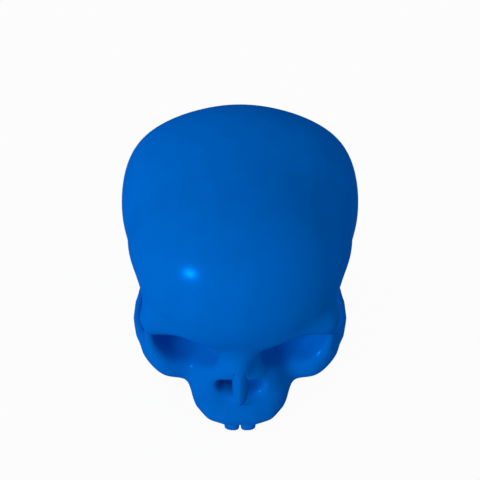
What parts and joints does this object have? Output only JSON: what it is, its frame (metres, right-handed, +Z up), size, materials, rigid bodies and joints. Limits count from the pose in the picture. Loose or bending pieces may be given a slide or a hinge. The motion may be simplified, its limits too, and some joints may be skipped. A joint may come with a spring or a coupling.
{
  "type": "halloween skull",
  "caption": "Life-size hollow decorative skull without a lower jaw, in glossy blue plastic, with pegged upper teeth and a flat foot plate.",
  "frame": {"origin": "centre of the bounding box at its bottom, on the surface that the skull stands on", "axes": "+Z up, the face looks along -Y, +X is the skull's left side"},
  "size_m": [0.1512, 0.1884, 0.142],
  "materials": {
    "blue_plastic": "smooth glossy blue moulded plastic",
    "zinc_screw": "zinc plated"
  },
  "bodies": {
    "root": {"front_shell": "blue_plastic", "rear_shell": "blue_plastic", "foot_plate": "blue_plastic", "nasal_septum": "blue_plastic", "central_incisor_left": "blue_plastic", "lateral_incisor_left": "blue_plastic", "canine_left": "blue_plastic", "first_premolar_left": "blue_plastic", "second_premolar_left": "blue_plastic", "first_molar_left": "blue_plastic", "second_molar_left": "blue_plastic", "central_incisor_right": "blue_plastic", "lateral_incisor_right": "blue_plastic", "canine_right": "blue_plastic", "first_premolar_right": "blue_plastic", "second_premolar_right": "blue_plastic", "first_molar_right": "blue_plastic", "second_molar_right": "blue_plastic", "screw_front_right": "zinc_screw", "screw_front_left": "zinc_screw", "screw_rear_right": "zinc_screw", "screw_rear_left": "zinc_screw"}
  },
  "joints": []
}
